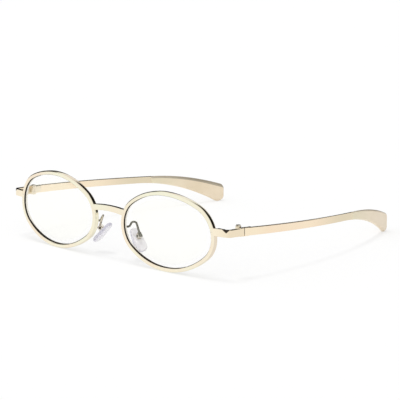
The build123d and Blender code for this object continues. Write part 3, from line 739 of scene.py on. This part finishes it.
pad = {
    "reach": 3.2, "setback": 8.3, "drop": 8.6, "upShares": (-0.65, 0.17, 0.735),
    "splay": math.radians(13), "long": 12.8, "foot": 3.35, "top": 2.6, "thick": 1.8, "round": 0.75,
    "domes": (0.22, 0.132), "steps": 120, "innerShare": 0.08, "faceRings": 9, "edgeRings": 13,
    "bossRise": 0.9, "bossWide": 1.2, "bossLong": 1.4, "bossHigh": 1.9, "bossFrom": 0.4,
    "bossRound": 0.25, "bossSteps": 9,
}


def padAxes():
    # The pad's own directions: across it, up its length and away from the nose
    up = np.array(pad["upShares"]) / np.linalg.norm(pad["upShares"])
    level = np.array([math.cos(pad["splay"]), -math.sin(pad["splay"]), 0])
    out = level - np.array([0, 0, level @ up / up[2]])
    out /= np.linalg.norm(out)
    return np.cross(up, out), up, out


def makePads():
    # A plate of rings about its middle, domed on both faces and rounded at its edge
    across, up, out = padAxes()
    middle = np.array([whole["gap"] / 2 + pad["reach"], frontY + pad["setback"],
                       rim["halfHigh"] - pad["drop"]])
    # The outline is the hull of two circles: each normal picks the circle that reaches further
    turn = np.linspace(0, 2 * math.pi, pad["steps"], endpoint=False)
    normals = np.stack([np.cos(turn), np.sin(turn)], -1)
    foot = np.array([0, pad["foot"] - pad["long"] / 2])
    head = np.array([0, pad["long"] / 2 - pad["top"]])
    pickFoot = (normals @ foot + pad["foot"] > normals @ head + pad["top"])[:, None]
    outline = np.where(pickFoot, foot + normals * pad["foot"], head + normals * pad["top"])
    inner = outline - normals * pad["round"]
    half = pad["thick"] / 2
    rings, heights = [], []
    shares = np.linspace(pad["innerShare"], 1, pad["faceRings"])
    angles = np.linspace(0, math.pi, pad["edgeRings"] + 2)[1:-1]
    # how far round the edge each ring lies, which the pad plastic reads for its painted edge shade: 1 at
    # its outermost line
    edge = np.concatenate([shares * 0, np.sin(angles), shares * 0])
    edge = np.concatenate([np.repeat(edge, pad["steps"]), [0, 0]])
    for share in shares:
        rings.append(inner * share)
        heights.append(half + pad["domes"][0] * (1 - share**2))
    for angle in angles:
        rings.append(inner + normals * pad["round"] * math.sin(angle))
        heights.append(half * math.cos(angle))
    for share in shares[::-1]:
        rings.append(inner * share)
        heights.append(-half - pad["domes"][1] * (1 - share**2))
    flat = np.stack(rings)
    points = middle + flat[..., :1] * across + flat[..., 1:] * up + np.array(heights)[:, None, None] * out
    # The boss stands on the back of the plate
    rise = np.linspace(half * pad["bossFrom"], half + pad["bossHigh"], pad["bossSteps"])
    taper = edgeInset(half + pad["bossHigh"] - rise, pad["bossRound"])
    ring = section(pad["bossWide"] / 2 - taper, pad["bossLong"] / 2 - taper, pad["bossRound"])
    bossFoot = middle + up * pad["bossRise"]
    boss = bossFoot + ring[..., :1] * across + ring[..., 1:] * up + rise[:, None, None] * out
    for side, sign in sides.items():
        plate = gridMesh(f"pad_{side}_mesh", mirrored(points, sign), poles=True)
        plate.attributes.new("edge", "FLOAT", "POINT").data.foreach_set("value", edge)
        stem = gridMesh(f"boss_{side}_mesh", mirrored(boss, sign))
        addPiece(f"pad_drop_{side}", [plate, stem], [plastics["pad"]], f"nose_pad_{side}",
                 [f"nose_pad_{side}"])


makePads()
print("nose pads made")

# The small fittings keep their own meshes and take a finish
fittings = {
    "closing_block_upper": fittingMetal, "closing_block_lower": fittingMetal,
    # the left pad arm's near black is painted shade
    "front_hinge": fittingMetal, "temple_hinge": fittingMetal, "pad_arm": shadedWireMetal,
    # the pad box's darker patches are painted shade
    "pad_box": shadedBoxMetal, "closing_screw": screwMetal, "hinge_screw": screwMetal,
    # the pad screws' near black is painted shade
    "pad_screw": shadedPadScrew, "pad_arm_right": litWire,
}
for nodeName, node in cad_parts.items():
    kind = nodeName.replace("_left", "").replace("_right", "")
    material = fittings.get(nodeName, fittings.get(kind))
    if material:
        node.data.materials.clear()
        node.data.materials.append(material)
print("fittings finished")

# Floor, world and lamp
studio = {
    "floorReach": 8.0, "floorColour": (0.90, 0.90, 0.90, 1), "glow": 1.012, "glowShare": 0.60,
    "frontLight": 1.42, "backLight": 0.28, "sun": 0.8, "sunSpread": 16, "sunTilt": (4, -6),
    "dark": (0.010, 0.009, 0.008, 1), "lean": 0.2,
    # where each panel starts, is full, begins to fade and ends
    "panels": (
        {"across": (-0.42, -0.25, 0.82, 0.92), "up": (0.02, 0.06, 0.82, 0.92),
         "back": (0.0, 0.15, 0.77, 0.84)},
        {"across": (-1.1, -1.0, -0.15, 0.05), "up": (0.02, 0.06, 0.33, 0.45),
         "back": (0.25, 0.40, 1.8, 2.0)},
        {"across": (-1.2, -1.1, -0.74, -0.66), "up": (0.0, 0.03, 0.58, 0.70),
         "back": (-0.35, -0.20, 1.8, 2.0)},
    ),
}


def rayMask(g):
    # 1 for what is seen straight, in a reflection or through a lens, 0 for the light itself
    names = ("Is Camera Ray", "Is Glossy Ray", "Is Transmission Ray")
    kinds = [g.node("ShaderNodeLightPath", output=name) for name in names]
    return g.node("ShaderNodeMath", {"operation": "ADD", "use_clamp": True},
                  {0: kinds[0] + kinds[1], 1: kinds[2]})


def makeFloor(s):
    material, g = newMaterial("floorWhite")
    lit = g.node("ShaderNodeBsdfDiffuse", None, {"Color": s["floorColour"]})
    glow = g.node("ShaderNodeEmission", None, {"Color": (1, 1, 1, 1), "Strength": s["glow"]})
    g.surface(g.node("ShaderNodeMixShader", None, {0: rayMask(g) * s["glowShare"], 1: lit, 2: glow}))
    r = s["floorReach"]
    mesh = bpy.data.meshes.new("floor")
    mesh.from_pydata([(-r, -r, 0), (r, -r, 0), (r, r, 0), (-r, r, 0)], [], [(0, 1, 2, 3)])
    mesh.materials.append(material)
    floor = bpy.data.objects.new("floor", mesh)
    bpy.context.scene.collection.objects.link(floor)


def makeWorld(s):
    # White all round. Reflections also find three dark panels: one behind on the right, one
    # low at the back and one low on the left. Their depth is measured along a line that leans
    world = bpy.data.worlds.new("studio")
    world.use_nodes = True
    bpy.context.scene.world = world
    g = Graph(world.node_tree)
    x, y, z = g.parts(g.node("ShaderNodeTexCoord", output="Generated"))
    back = y - x * s["lean"]
    dark = 0.0
    for panel in s["panels"]:
        shade = 1.0
        for way, name in ((x, "across"), (z, "up"), (back, "back")):
            start, full, fading, end = panel[name]
            shade = g.spread(way, start, full) * (1 - g.spread(way, fading, end)) * shade
        dark = shade + dark
    glossy = g.node("ShaderNodeLightPath", output="Is Glossy Ray")
    share = g.node("ShaderNodeMath", {"operation": "MULTIPLY", "use_clamp": True}, {0: dark, 1: glossy})
    seen = g.node("ShaderNodeBackground", None, {
        "Color": g.mixColour(share, (1, 1, 1, 1), s["dark"]), "Strength": 1.0})
    # the light itself comes mostly from the front
    even = g.spread(y, -1, 1)
    strength = s["frontLight"] + even * (s["backLight"] - s["frontLight"])
    light = g.node("ShaderNodeBackground", None, {"Color": (1, 1, 1, 1), "Strength": strength})
    g.surface(g.node("ShaderNodeMixShader", None, {0: rayMask(g), 1: light, 2: seen}),
              "ShaderNodeOutputWorld")


def makeLamp(s):
    data = bpy.data.lights.new("overhead", "SUN")
    data.energy = s["sun"]
    data.angle = math.radians(s["sunSpread"])
    lamp = bpy.data.objects.new("overhead", data)
    # metal shows the panels, and no bright dashes of the lamp
    lamp.visible_glossy = False
    lamp.rotation_euler = (*map(math.radians, s["sunTilt"]), 0)
    bpy.context.scene.collection.objects.link(lamp)


makeFloor(studio)
makeWorld(studio)
makeLamp(studio)
bpy.context.scene.view_settings.view_transform = "Standard"
print("studio made")
